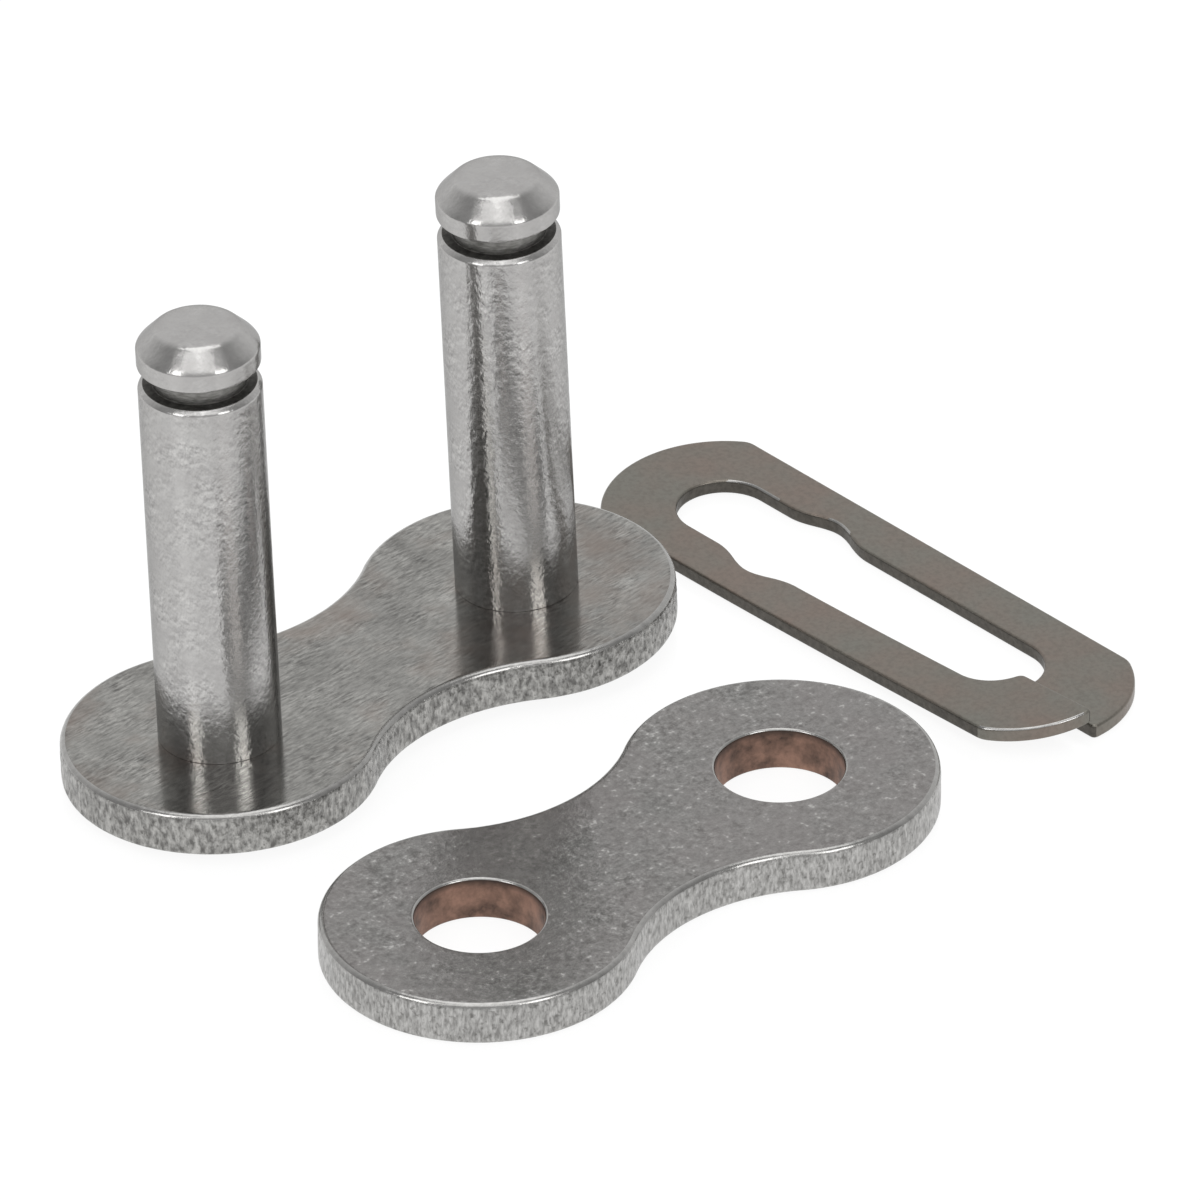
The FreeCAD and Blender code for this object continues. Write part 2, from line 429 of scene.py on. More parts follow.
# Edges burnished by tumbling: the same steel rubbed bright and smooth, its lightness partly painted
# as a highlight, which draws white lines.
burnished_and_highlight_steel = new_material("carbon_steel_burnished_and_highlighted_edge")
tree = burnished_and_highlight_steel.node_tree
where = add(tree, "ShaderNodeTexCoord").outputs["Object"]
rub = add(
    tree,
    "ShaderNodeTexNoise",
    {"Vector": where, "Scale": 1 / (0.3 * MM), "Detail": 3.0, "Roughness": 0.6},
).outputs["Fac"]
rubbed = add(
    tree,
    "ShaderNodeMix",
    {0: rub, 6: linear("#888785"), 7: linear("#b8b7b5")},
    data_type="RGBA",
).outputs[2]
worn = add(
    tree, "ShaderNodeBump", {"Height": rub, "Strength": 1.0, "Distance": 0.01 * MM}
).outputs["Normal"]
surface = add(
    tree,
    "ShaderNodeBsdfPrincipled",
    {"Base Color": rubbed, "Metallic": 1.0, "Roughness": 0.22, "Normal": worn},
)
add(tree, "ShaderNodeOutputMaterial", {"Surface": surface.outputs["BSDF"]})

pin_plate_rings = [(plate_outline(PLATE_CELL), PLATE_EDGE, PIN_PLATE_TORN)]
for side in (-1, 1):
    foot_hole = hole_outline(side * PITCH / 2, PIN_FOOT_RADIUS, FOOT_HOLE_CELL)
    pin_plate_rings.append((foot_hole, HOLE_EDGE, 0.0))
pin_plate = stamping(
    "pin_plate_blank",
    pin_plate_rings,
    PLATE_THICKNESS,
    cell=PLATE_CELL,
    tear_height=HAMMERED_TEAR_HEIGHT,
    seed=11,
)
pin_plate_place = (
    Matrix.Translation(Vector(PIN_PLATE_CENTRE) * MM)
    @ Matrix.Rotation(math.radians(PIN_PLATE_TURN), 4, "Z")
    @ Matrix.Rotation(math.radians(PIN_PLATE_LEAN), 4, "X")
    @ Matrix.Rotation(math.radians(PIN_PLATE_RISE), 4, "Y")
)
pin_plate.matrix_world = pin_plate_place
for steel in (rolled_steel, hammered_steel, hammered_steel, burnished_and_highlight_steel):
    pin_plate.data.materials.append(steel)
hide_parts("pin_plate")
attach(pin_plate, "root")


# Front and rear pin. Turned from case-hardened steel, ground, then tumbled with the plates. Each
# stands on a shoulder, its thinner foot riveted through the pin plate, and has a groove for the
# clip near its head.

PIN_RADIUS = 1.98
PIN_TOP = 16.55
SHANK_TOP = 14.54
SHOULDER_BREAK = 0.15
GROOVE_TOP = 15.22
GROOVE_RADIUS = 1.5
HEAD_RIM = 15.9
HEAD_FLAT = 1.33
SEAT_GAP = 0.001
SEAT_BREAK = 0.01
FRONT_DOME = 0.205
REAR_DOME = 0.325
DOME_BEND_RADIUS = 1.2
DOME_BEND_SHARE = 0.45
DOME_INSET = 0.2
AXIS_HOLE = 0.02
GROOVE_MARGIN = 0.03
PIN_STEP = 0.065
PIN_COLUMNS = 208
CORNER_STEPS = 8

# The skin that tumbling leaves: its depths, and how far from the seat and from the axis it starts.
PEEL_DEPTH = 0.0006
SWELL_DEPTH = 0.0004
NICK_DEPTH = 0.006
SKIN_START = 0.05
SKIN_INNER = 0.1


def rounded(corners, step):
    """A line through corners, divided into short steps. Each corner is given as radius, height,
    and how far its rounding starts before it and ends after it."""
    bent = [np.array(corners[0][:2])]
    for before, corner, after in zip(corners, corners[1:], corners[2:]):
        at = np.array(corner[:2])
        back, on = np.array(before[:2]) - at, np.array(after[:2]) - at
        start = at + back * corner[2] / np.hypot(*back)
        end = at + on * corner[3] / np.hypot(*on)
        for t in np.linspace(0, 1, CORNER_STEPS) if corner[2] else [0.5]:
            bent.append((1 - t) ** 2 * start + 2 * t * (1 - t) * at + t**2 * end)
    bent.append(np.array(corners[-1][:2]))
    line = []
    for a, b in zip(bent, bent[1:]):
        parts = max(1, math.ceil(np.hypot(*(b - a)) / step - 0.01))
        line += [a + (b - a) * i / parts for i in range(parts)]
    return np.array(line + [bent[-1]])


def tumbled_skin(rows, columns, seed):
    """How far the pin's skin stands in: a soft hammered peel, a swell and scattered nicks."""
    peel = mottle(rows, columns, 3.0, 2.2, seed)
    swell = mottle(rows, columns, 30.0, 5.0, seed + 1)
    nicks = mottle(rows, columns, 1.5, 1.2, seed + 2)
    depth = PEEL_DEPTH * peel + SWELL_DEPTH * swell + NICK_DEPTH * np.clip(nicks - 2.0, 0, 1.5)
    return depth - depth.mean()


def turned_pin(name, dome, seed):
    """A pin in the pin plate's frame: its axis is upright, the plate's underside at height 0. Its
    materials are the ground skin, the groove and the groove's floor."""
    corners = [
        (AXIS_HOLE, -dome, 0, 0),
        (DOME_BEND_RADIUS, -dome * DOME_BEND_SHARE, 0.3, 0.3),
        (PIN_FOOT_RADIUS - DOME_INSET, 0.0, 0, 0),
        (PIN_FOOT_RADIUS, 0.0, 0, 0),
        (PIN_FOOT_RADIUS, PLATE_THICKNESS + SEAT_GAP, 0, 0),
        (PIN_RADIUS - SEAT_BREAK, PLATE_THICKNESS + SEAT_GAP, 0, 0),
        (PIN_RADIUS, PLATE_THICKNESS + SEAT_BREAK, 0, 0),
        (PIN_RADIUS, PLATE_THICKNESS + 2 * SEAT_BREAK, 0, 0),
        (PIN_RADIUS, SHANK_TOP - SHOULDER_BREAK, 0.05, 0.08),
        (PIN_RADIUS - SHOULDER_BREAK, SHANK_TOP, 0.08, 0.05),
        (GROOVE_RADIUS, SHANK_TOP, 0.05, 0.05),
        (GROOVE_RADIUS, GROOVE_TOP, 0.05, 0.05),
        (PIN_RADIUS, GROOVE_TOP, 0.1, 0.1),
        (PIN_RADIUS, HEAD_RIM, 0.07, 0.3),
        (HEAD_FLAT, PIN_TOP, 0.15, 0.2),
        (AXIS_HOLE, PIN_TOP, 0, 0),
    ]
    line = rounded(corners, PIN_STEP)
    rows, columns = len(line), PIN_COLUMNS
    ahead = np.gradient(line, axis=0)
    ahead /= np.hypot(*ahead.T)[:, None]
    skin = tumbled_skin(rows, columns, seed)
    shown = (line[:, 1] > PLATE_THICKNESS + SKIN_START) & (line[:, 0] > SKIN_INNER)
    skin = skin * shown[:, None]
    radius = line[:, :1] - ahead[:, 1:] * skin
    height = line[:, 1:] + ahead[:, :1] * skin
    turn = np.linspace(0, 2 * math.pi, columns, endpoint=False)
    points = np.stack([radius * np.cos(turn), radius * np.sin(turn), height + 0 * turn], axis=-1)
    here = np.arange(columns)
    after = np.roll(here, -1)
    faces = []
    for low in range(0, (rows - 1) * columns, columns):
        high = low + columns
        faces += np.column_stack([low + here, low + after, high + after, high + here]).tolist()
    faces += [here[::-1].tolist(), ((rows - 1) * columns + here).tolist()]
    radius_at, height_at = (line[:-1] + line[1:]).T / 2
    groove = (radius_at < PIN_RADIUS - SHOULDER_BREAK) & (height_at < GROOVE_TOP + GROOVE_MARGIN)
    groove &= height_at > SHANK_TOP - GROOVE_MARGIN
    floor = groove & (height_at < SHANK_TOP + 2 * GROOVE_MARGIN)
    skins = np.append(np.repeat(groove.astype(int) + floor, columns), [0, 0])
    return smooth_piece(name, points.reshape(-1, 3), faces, skins)


# Hardened steel, ground and tumbled: bright and fairly smooth, with dimples about a seventh of a
# millimetre across. Below the groove it is hammered in patches into shallow hollows, each given a
# painted highlight on one side and painted shade on the other, with short curved dents where other
# parts struck it. The grinding ran round the pin, so that lights draw out along it, and its sides
# turn a little darker.
HOLLOW_SIZE = (0.22, 0.22, 0.3)
# How far the shifted copy of the hollows that paints their highlight and shade is moved.
PAINTED_HIGHLIGHT_SHIFT = (0.05, 0.09, 0.22)  # in shares of a hollow
MARKS_END = 14.2
SMOOTH_FROM = 14.6
ground_steel = new_material("hardened_steel_ground_and_tumbled")
tree = ground_steel.node_tree
where = add(tree, "ShaderNodeTexCoord").outputs["Object"]
height = add(tree, "ShaderNodeSeparateXYZ", {"Vector": where}).outputs["Z"]
on_shank = add(
    tree,
    "ShaderNodeMapRange",
    {"Value": height, 1: MARKS_END * MM, 2: SMOOTH_FROM * MM, 3: 1.0, 4: 0.25},
).outputs[0]
along = add(
    tree,
    "ShaderNodeMapping",
    {"Vector": where, "Scale": [1 / (size * MM) for size in HOLLOW_SIZE]},
)
hammered = add(
    tree,
    "ShaderNodeTexNoise",
    {"Vector": along.outputs["Vector"], "Scale": 1.0, "Detail": 3.0, "Roughness": 0.6},
).outputs["Fac"]
# Painted highlight and shade: hollows less a shifted copy, light on one side and dark on the other.
beside = add(
    tree, "ShaderNodeVectorMath", {0: along.outputs["Vector"], 1: PAINTED_HIGHLIGHT_SHIFT}
).outputs["Vector"]
painted_highlight_copy = add(
    tree, "ShaderNodeTexNoise", {"Vector": beside, "Scale": 1.0, "Detail": 3.0, "Roughness": 0.6}
).outputs["Fac"]
painted_relief_shade = add(tree, "ShaderNodeMath", {0: hammered, 1: painted_highlight_copy}, operation="SUBTRACT").outputs[0]
patches = add(
    tree,
    "ShaderNodeTexNoise",
    {"Vector": where, "Scale": 1 / (1.1 * MM), "Detail": 2.0, "Roughness": 0.5},
).outputs["Fac"]
patched = add(
    tree, "ShaderNodeMapRange", {"Value": patches, 1: 0.38, 2: 0.62, 3: 0.25, 4: 1.0}
).outputs[0]
patched = add(tree, "ShaderNodeMath", {0: patched, 1: on_shank}, operation="MULTIPLY").outputs[0]
painted_relief_shade = add(tree, "ShaderNodeMath", {0: painted_relief_shade, 1: patched}, operation="MULTIPLY").outputs[0]
painted_relief_shade_share = add(
    tree, "ShaderNodeMapRange", {"Value": painted_relief_shade, 1: -0.2, 2: 0.2, 3: 0.0, 4: 1.0}
).outputs[0]
peel = add(
    tree,
    "ShaderNodeTexNoise",
    {"Vector": where, "Scale": 1 / (0.14 * MM), "Detail": 2.0, "Roughness": 0.6},
).outputs["Fac"]
cloud = add(
    tree,
    "ShaderNodeTexNoise",
    {"Vector": where, "Scale": 1 / (0.9 * MM), "Detail": 4.0, "Roughness": 0.65},
).outputs["Fac"]
winding = add(
    tree,
    "ShaderNodeTexNoise",
    {"Vector": where, "Scale": 1 / (0.45 * MM), "Detail": 1.0, "Roughness": 0.5},
).outputs["Fac"]
off_line = add(tree, "ShaderNodeMath", {0: winding, 1: 0.5}, operation="SUBTRACT").outputs[0]
off_line = add(tree, "ShaderNodeMath", {0: off_line}, operation="ABSOLUTE").outputs[0]
dents = add(
    tree, "ShaderNodeMapRange", {"Value": off_line, 1: 0.0, 2: 0.12, 3: -0.2, 4: 0.0}
).outputs[0]
struck = add(tree, "ShaderNodeMath", {0: hammered, 1: dents}, operation="ADD").outputs[0]
struck = add(tree, "ShaderNodeMath", {0: struck, 1: on_shank}, operation="MULTIPLY").outputs[0]
cloud_share = add(
    tree, "ShaderNodeMapRange", {"Value": cloud, 1: 0.35, 2: 0.65, 3: 0.0, 4: 0.4}
).outputs[0]
# The painted highlight and shade of the hollows go into the colour here.
painted_relief_colour = add(
    tree,
    "ShaderNodeMix",
    {0: painted_relief_shade_share, 6: linear("#908f8e"), 7: linear("#d3d2d0")},
    data_type="RGBA",
).outputs[2]
greyed = add(
    tree,
    "ShaderNodeMix",
    {0: cloud_share, 6: painted_relief_colour, 7: linear("#a5a3a2")},
    data_type="RGBA",
).outputs[2]
polished = add(
    tree, "ShaderNodeMapRange", {"Value": cloud, 1: 0.3, 2: 0.7, 3: 0.19, 4: 0.23}
).outputs[0]
dimpled = add(
    tree, "ShaderNodeBump", {"Height": peel, "Strength": 1.0, "Distance": 0.006 * MM}
).outputs["Normal"]
dented = add(
    tree,
    "ShaderNodeBump",
    {"Height": struck, "Strength": 1.0, "Distance": 0.013 * MM, "Normal": dimpled},
).outputs["Normal"]
round_pin = add(tree, "ShaderNodeTangent", direction_type="RADIAL", axis="Z").outputs["Tangent"]
surface = add(
    tree,
    "ShaderNodeBsdfPrincipled",
    {
        "Base Color": greyed,
        "Metallic": 1.0,
        "Specular Tint": linear("#cbcbcb"),
        "Roughness": polished,
        "Anisotropic": 0.75,
        "Anisotropic Rotation": 0.25,
        "Tangent": round_pin,
        "Normal": dented,
    },
)
add(tree, "ShaderNodeOutputMaterial", {"Surface": surface.outputs["BSDF"]})

TOOLING_SIZE = (0.3, 0.3, 0.07)


def turned_steel(name, dark, light, roughness):
    """Steel as the tool left it, with fine rings round the pin."""
    steel = new_material(name)
    tree = steel.node_tree
    where = add(tree, "ShaderNodeTexCoord").outputs["Object"]
    rings = add(
        tree,
        "ShaderNodeMapping",
        {"Vector": where, "Scale": [1 / (size * MM) for size in TOOLING_SIZE]},
    )
    tooling = add(
        tree,
        "ShaderNodeTexNoise",
        {"Vector": rings.outputs["Vector"], "Scale": 1.0, "Detail": 3.0, "Roughness": 0.7},
    ).outputs["Fac"]
    share = add(
        tree, "ShaderNodeMapRange", {"Value": tooling, 1: 0.3, 2: 0.7, 3: 0.0, 4: 1.0}
    ).outputs[0]
    ring_toned = add(
        tree, "ShaderNodeMix", {0: share, 6: linear(dark), 7: linear(light)}, data_type="RGBA"
    ).outputs[2]
    ridged = add(
        tree, "ShaderNodeBump", {"Height": tooling, "Strength": 0.6, "Distance": 0.01 * MM}
    ).outputs["Normal"]
    surface = add(
        tree,
        "ShaderNodeBsdfPrincipled",
        {"Base Color": ring_toned, "Metallic": 1.0, "Roughness": roughness, "Normal": ridged},
    )
    add(tree, "ShaderNodeOutputMaterial", {"Surface": surface.outputs["BSDF"]})
    return steel


# The groove is turned and never polished: its core is grey, and its floor, where the clip sits
# under the head, is painted near black.
groove_steel = turned_steel("hardened_steel_turned", "#6c6b68", "#989794", roughness=0.4)
dark_floor_steel = turned_steel("hardened_steel_turned_dark_floor", "#3b3a38", "#6f6e6b", roughness=0.6)

for node, side, dome, seed in (("front_pin", -1, FRONT_DOME, 21), ("rear_pin", 1, REAR_DOME, 31)):
    pin = turned_pin(node + "_turned", dome, seed)
    pin.matrix_world = pin_plate_place @ Matrix.Translation((side * PITCH / 2 * MM, 0, 0))
    for steel in (ground_steel, groove_steel, dark_floor_steel):
        pin.data.materials.append(steel)
    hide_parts(node)
    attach(pin, "root")


# Cover plate. The loose plate that slides over both pins: the same blank in a duller finish, lying
# flat, its two punched holes left brown by heat inside and worn bright at the rims, the rims'
# brightness partly painted as a highlight.

COVER_CENTRE = (-4.1318, -6.6466, 0.0)
BORE_RADIUS = 2.07
COVER_TORN = 1.0
BORE_TORN = 0.3
BLANKED_TEAR_HEIGHT = 0.35

# Carbon steel tumbled without polish: mid grey, covered in small dents whose light and dark specks
# are painted into the colour, stronger in patches, and with painted glints as small light specks.
tumbled_steel = new_material("carbon_steel_barrel_tumbled")
tree = tumbled_steel.node_tree
where = add(tree, "ShaderNodeTexCoord").outputs["Object"]
dents = add(
    tree,
    "ShaderNodeTexNoise",
    {"Vector": where, "Scale": 1 / (0.2 * MM), "Detail": 3.0, "Roughness": 0.7},
).outputs["Fac"]
cloud = add(
    tree,
    "ShaderNodeTexNoise",
    {"Vector": where, "Scale": 1 / (3.0 * MM), "Detail": 4.0, "Roughness": 0.6},
).outputs["Fac"]
dent_marks = in_patches(tree, where, dents, patch_size=1.1, least=0.6)
dent_marks = add(
    tree, "ShaderNodeMath", {0: cloud, 1: 0.35, 2: dent_marks}, operation="MULTIPLY_ADD"
).outputs[0]
dent_share = add(
    tree, "ShaderNodeMapRange", {"Value": dent_marks, 1: 0.015, 2: 0.335, 3: 0.0, 4: 1.0}
).outputs[0]
cloud_share = add(
    tree, "ShaderNodeMapRange", {"Value": cloud, 1: 0.35, 2: 0.65, 3: 0.0, 4: 0.5}
).outputs[0]
speckled = add(
    tree,
    "ShaderNodeMix",
    {0: dent_share, 6: linear("#6a6967"), 7: linear("#a6a5a3")},
    data_type="RGBA",
).outputs[2]
greyed = add(
    tree,
    "ShaderNodeMix",
    {0: cloud_share, 6: speckled, 7: linear("#777170")},
    data_type="RGBA",
).outputs[2]
# Painted glints: small light specks painted into the colour where a fine noise peaks.
glints = add(
    tree, "ShaderNodeTexNoise", {"Vector": where, "Scale": 1 / (0.2 * MM), "Detail": 1.0}
).outputs["Fac"]
glint_share = add(
    tree, "ShaderNodeMapRange", {"Value": glints, 1: 0.68, 2: 0.78, 3: 0.0, 4: 0.6}
).outputs[0]
painted_glint_colour = add(
    tree,
    "ShaderNodeMix",
    {0: glint_share, 6: greyed, 7: linear("#c3c2bf")},
    data_type="RGBA",
).outputs[2]
dulled = add(
    tree, "ShaderNodeMapRange", {"Value": dents, 1: 0.3, 2: 0.7, 3: 0.24, 4: 0.18}
).outputs[0]
pitted = add(
    tree, "ShaderNodeBump", {"Height": dents, "Strength": 1.0, "Distance": 0.009 * MM}
).outputs["Normal"]
surface = add(
    tree,
    "ShaderNodeBsdfPrincipled",
    {"Base Color": painted_glint_colour, "Metallic": 1.0, "Roughness": dulled, "Normal": pitted},
)
add(tree, "ShaderNodeOutputMaterial", {"Surface": surface.outputs["BSDF"]})

# Iron oxide from the heat of punching and dried oil: a thin patchy brown film, dull, over the
# steel, with a darker band painted just under the rim.
RIM_BAND_START = 1.2
RIM_BAND_FULL = 1.42
browned_steel = new_material("punched_bore_brown_oxide")
tree = browned_steel.node_tree
where = add(tree, "ShaderNodeTexCoord").outputs["Object"]
film = add(
    tree,
    "ShaderNodeTexNoise",
    {"Vector": where, "Scale": 1 / (0.8 * MM), "Detail": 4.0, "Roughness": 0.65},
).outputs["Fac"]
film_share = add(
    tree, "ShaderNodeMapRange", {"Value": film, 1: 0.3, 2: 0.7, 3: 0.0, 4: 1.0}
).outputs[0]
height = add(tree, "ShaderNodeSeparateXYZ", {"Vector": where}).outputs["Z"]
under_rim = add(
    tree,
    "ShaderNodeMapRange",
    {"Value": height, 1: RIM_BAND_START * MM, 2: RIM_BAND_FULL * MM, 3: 0.0, 4: 0.85},
).outputs[0]
browned = add(
    tree,
    "ShaderNodeMix",
    {0: film_share, 6: linear("#4f4039"), 7: linear("#a68372")},
    data_type="RGBA",
).outputs[2]
rim_band_toned = add(
    tree,
    "ShaderNodeMix",
    {0: under_rim, 6: browned, 7: linear("#423833")},
    data_type="RGBA",
).outputs[2]
rubbed = add(
    tree, "ShaderNodeBump", {"Height": film, "Strength": 0.4, "Distance": 0.03 * MM}
).outputs["Normal"]
surface = add(
    tree,
    "ShaderNodeBsdfPrincipled",
    {"Base Color": rim_band_toned, "Metallic": 0.7, "Roughness": 0.5, "Normal": rubbed},
)
add(tree, "ShaderNodeOutputMaterial", {"Surface": surface.outputs["BSDF"]})

# The cover plate's wall keeps the upright tears of the punch, about a tenth of a millimetre wide.
sheared_steel = sheared_carbon_steel(
    "carbon_steel_sheared_edge",
    "#858482",
    "#bcbbb9",
    tear_width=0.1,
    tear_height=0.3,
    relief=0.03,
)

cover_plate_rings = [(plate_outline(PLATE_CELL), PLATE_EDGE, COVER_TORN)]
for side in (-1, 1):
    bore = hole_outline(side * PITCH / 2, BORE_RADIUS, PLATE_CELL)
    cover_plate_rings.append((bore, HOLE_EDGE, BORE_TORN))
cover_plate = stamping(
    "cover_plate_blank",
    cover_plate_rings,
    PLATE_THICKNESS,
    cell=PLATE_CELL,
    tear_height=BLANKED_TEAR_HEIGHT,
    seed=41,
)
cover_plate.matrix_world = Matrix.Translation(Vector(COVER_CENTRE) * MM)
for steel in (tumbled_steel, sheared_steel, browned_steel, burnished_and_highlight_steel):
    cover_plate.data.materials.append(steel)
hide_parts("cover_plate")
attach(cover_plate, "root")


# Spring clip. Stamped from thin spring steel strip, hardened and tempered. It lies on its closed
# end and far leg; the near leg is sprung up past the slit at the split end, as it is before it is
# pushed into the grooves.

CLIP_SEAT = (12.0181, 6.8867, 0.0)
CLIP_TURN = -88.9
CLIP_THICKNESS = 0.5
CLIP_EDGE = 0.1
CLIP_HALF_WIDTH = 3.27
CLIP_CLOSED_REACH = 4.0
CLIP_CLOSED_CROWN = 1.7
CLIP_TIP = 17.5
CLIP_OPEN_CROWN = 2.1
CLIP_CORNER = 0.2
CLIP_CELL = 0.05
CLIP_TORN = 0.3
SLOT_HALF = 1.55
PASS_CENTRE = 3.18
PASS_RADIUS = 2.0
PASS_BLEND = 0.4
SLIT_AT = -0.3
SLIT_GAP = 0.04
SLIT_CORNER = 0.2
SLIT_WALL_REACH = 0.15
SPRING_START = 0.8
SPRING_END = 15.0
LIFT_OUTER = 0.33
LIFT_INNER = 0.56

# Where the clip's upper edge is rubbed bright and painted light as a highlight: near the split end
# on the near leg, and between two places along and two across at the seat and at the pass hole.
PUSHED_FROM = 15.3
PUSHED_BELOW = -0.6
RUBBED_HIGHLIGHT_SEAT = ((-1.1, 0.9), (1.0, 2.2))
RUBBED_HIGHLIGHT_PASS = ((2.8, 3.9), (1.0, 2.4))


def arc(centre, radius, start, end, step=0.02):
    """Points on an arc from one angle to another, in radians."""
    turn = np.linspace(start, end, max(3, math.ceil(abs(end - start) * radius / step)))
    return np.column_stack([centre[0] + radius * np.cos(turn), centre[1] + radius * np.sin(turn)])


def crowned_end(crown_x, reach, side):
    """A clip end: an arc through both corners and the crown. The corners are rounded afterwards."""
    radius = (CLIP_HALF_WIDTH**2 + reach**2) / (2 * reach)
    spread = math.asin(CLIP_HALF_WIDTH / radius)
    middle = 0.0 if side > 0 else math.pi
    return arc((crown_x - side * radius, 0.0), radius, middle - spread, middle + spread)


def soften(ring, keep, radius):
    """Rounds the corners of a closed line near the given places by averaging along it."""
    spacing = np.hypot(*(ring[1] - ring[0]))
    reach = round(radius / spacing)
    kernel = np.ones(2 * reach + 1) / (2 * reach + 1)
    padded = np.vstack([ring[-reach:], ring, ring[:reach]])
    smooth = np.column_stack([np.convolve(padded[:, i], kernel, "valid") for i in (0, 1)])
    near = np.min(np.hypot(*(ring[:, None, :] - np.array(keep)[None]).transpose(2, 0, 1)), axis=1)
    share = np.clip((3 * radius - near) / radius, 0, 1)[:, None]
    return ring * (1 - share) + smooth * share


def clip_outline(spacing):
    """One closed line round the clip: outside, in through the slit, and round the slot."""
    slit_low, slit_high = SLIT_AT - SLIT_GAP / 2, SLIT_AT + SLIT_GAP / 2
    tip = crowned_end(CLIP_TIP, CLIP_OPEN_CROWN, 1)
    closed = crowned_end(-CLIP_CLOSED_REACH, CLIP_CLOSED_CROWN, -1)
    pass_half = math.asin(SLOT_HALF / PASS_RADIUS)
    seat_open = math.asin(abs(slit_low) / SLOT_HALF)
    seat_shut = math.asin(abs(slit_high) / SLOT_HALF)
    far_pass = arc((PASS_CENTRE, 0), PASS_RADIUS, math.pi - pass_half, pass_half)
    near_pass = far_pass[::-1] * (1, -1)
    line = np.vstack(
        [
            tip[tip[:, 1] > slit_high],
            closed,
            tip[tip[:, 1] < slit_low],
            arc((PITCH, 0), SLOT_HALF, -seat_open, -math.pi / 2),
            near_pass,
            arc((0, 0), SLOT_HALF, -math.pi / 2, -3 * math.pi / 2),
            far_pass,
            arc((PITCH, 0), SLOT_HALF, math.pi / 2, -seat_shut),
        ]
    )
    ring = evenly(line, spacing)
    end_x = (CLIP_TIP - CLIP_OPEN_CROWN, CLIP_CLOSED_CROWN - CLIP_CLOSED_REACH)
    corners = [(x, y) for y in (CLIP_HALF_WIDTH, -CLIP_HALF_WIDTH) for x in end_x]
    ring = soften(ring, corners, CLIP_CORNER)
    slit_x = (PITCH + SLOT_HALF * math.cos(seat_open), CLIP_TIP)
    corners = [(x, SLIT_AT + y) for x in slit_x for y in (-SLIT_GAP, SLIT_GAP)]
    ring = soften(ring, corners, SLIT_CORNER)
    return soften(ring, far_pass[[0, -1]].tolist() + near_pass[[0, -1]].tolist(), PASS_BLEND)


def sprung(along, across):
    """The near leg's rise above where it was stamped: a cantilever's curve, straight past its end,
    and more at the slit than outside."""
    run = np.clip((along - SPRING_START) / (SPRING_END - SPRING_START), 0, None)
    shape = np.where(run < 1, run**2 * (3 - run) / 2, 1 + 1.5 * (run - 1))
    inner = (across + CLIP_HALF_WIDTH) / (CLIP_HALF_WIDTH + SLIT_AT)
    rise = shape * (LIFT_OUTER + (LIFT_INNER - LIFT_OUTER) * inner)
    return np.where(across < SLIT_AT, rise, 0)


# Tempered spring steel: a warm grey-brown temper colour, satin, with fine pores.
spring_steel = new_material("spring_steel_tempered")
tree = spring_steel.node_tree
where = add(tree, "ShaderNodeTexCoord").outputs["Object"]
temper = add(
    tree,
    "ShaderNodeTexNoise",
    {"Vector": where, "Scale": 1 / (2.5 * MM), "Detail": 3.0, "Roughness": 0.55},
).outputs["Fac"]
temper_share = add(
    tree, "ShaderNodeMapRange", {"Value": temper, 1: 0.35, 2: 0.65, 3: 0.0, 4: 1.0}
).outputs[0]
warmed = add(
    tree,
    "ShaderNodeMix",
    {0: temper_share, 6: linear("#7e7c75"), 7: linear("#82776f")},
    data_type="RGBA",
).outputs[2]
pores = add(
    tree,
    "ShaderNodeTexNoise",
    {"Vector": where, "Scale": 1 / (0.15 * MM), "Detail": 2.0, "Roughness": 0.6},
).outputs["Fac"]
pore_share = add(
    tree, "ShaderNodeMapRange", {"Value": pores, 1: 0.4, 2: 0.7, 3: 0.0, 4: 0.35}
).outputs[0]
pored = add(
    tree,
    "ShaderNodeMix",
    {0: pore_share, 6: warmed, 7: linear("#625d57")},
    data_type="RGBA",
).outputs[2]
satin = add(
    tree, "ShaderNodeMapRange", {"Value": temper, 1: 0.3, 2: 0.7, 3: 0.42, 4: 0.34}
).outputs[0]
fine = add(
    tree, "ShaderNodeBump", {"Height": pores, "Strength": 0.3, "Distance": 0.006 * MM}
).outputs["Normal"]
surface = add(
    tree,
    "ShaderNodeBsdfPrincipled",
    {"Base Color": pored, "Metallic": 1.0, "Roughness": satin, "Normal": fine},
)
add(tree, "ShaderNodeOutputMaterial", {"Surface": surface.outputs["BSDF"]})

# The clip's sheared sides: the same steel, a little rough and painted darker as shade.
shade_painted_spring_wall = new_material("spring_steel_sheared_and_shaded_edge")
tree = shade_painted_spring_wall.node_tree
where = add(tree, "ShaderNodeTexCoord").outputs["Object"]
tears = add(
    tree,
    "ShaderNodeTexNoise",
    {"Vector": where, "Scale": 1 / (0.2 * MM), "Detail": 3.0, "Roughness": 0.6},
).outputs["Fac"]
painted_shade_tone = add(
    tree,
    "ShaderNodeMix",
    {0: tears, 6: linear("#3a3835"), 7: linear("#6b6761")},
    data_type="RGBA",
).outputs[2]
rough = add(
    tree, "ShaderNodeBump", {"Height": tears, "Strength": 1.0, "Distance": 0.02 * MM}
).outputs["Normal"]
surface = add(
    tree,
    "ShaderNodeBsdfPrincipled",
    {"Base Color": painted_shade_tone, "Metallic": 1.0, "Roughness": 0.45, "Normal": rough},
)
add(tree, "ShaderNodeOutputMaterial", {"Surface": surface.outputs["BSDF"]})

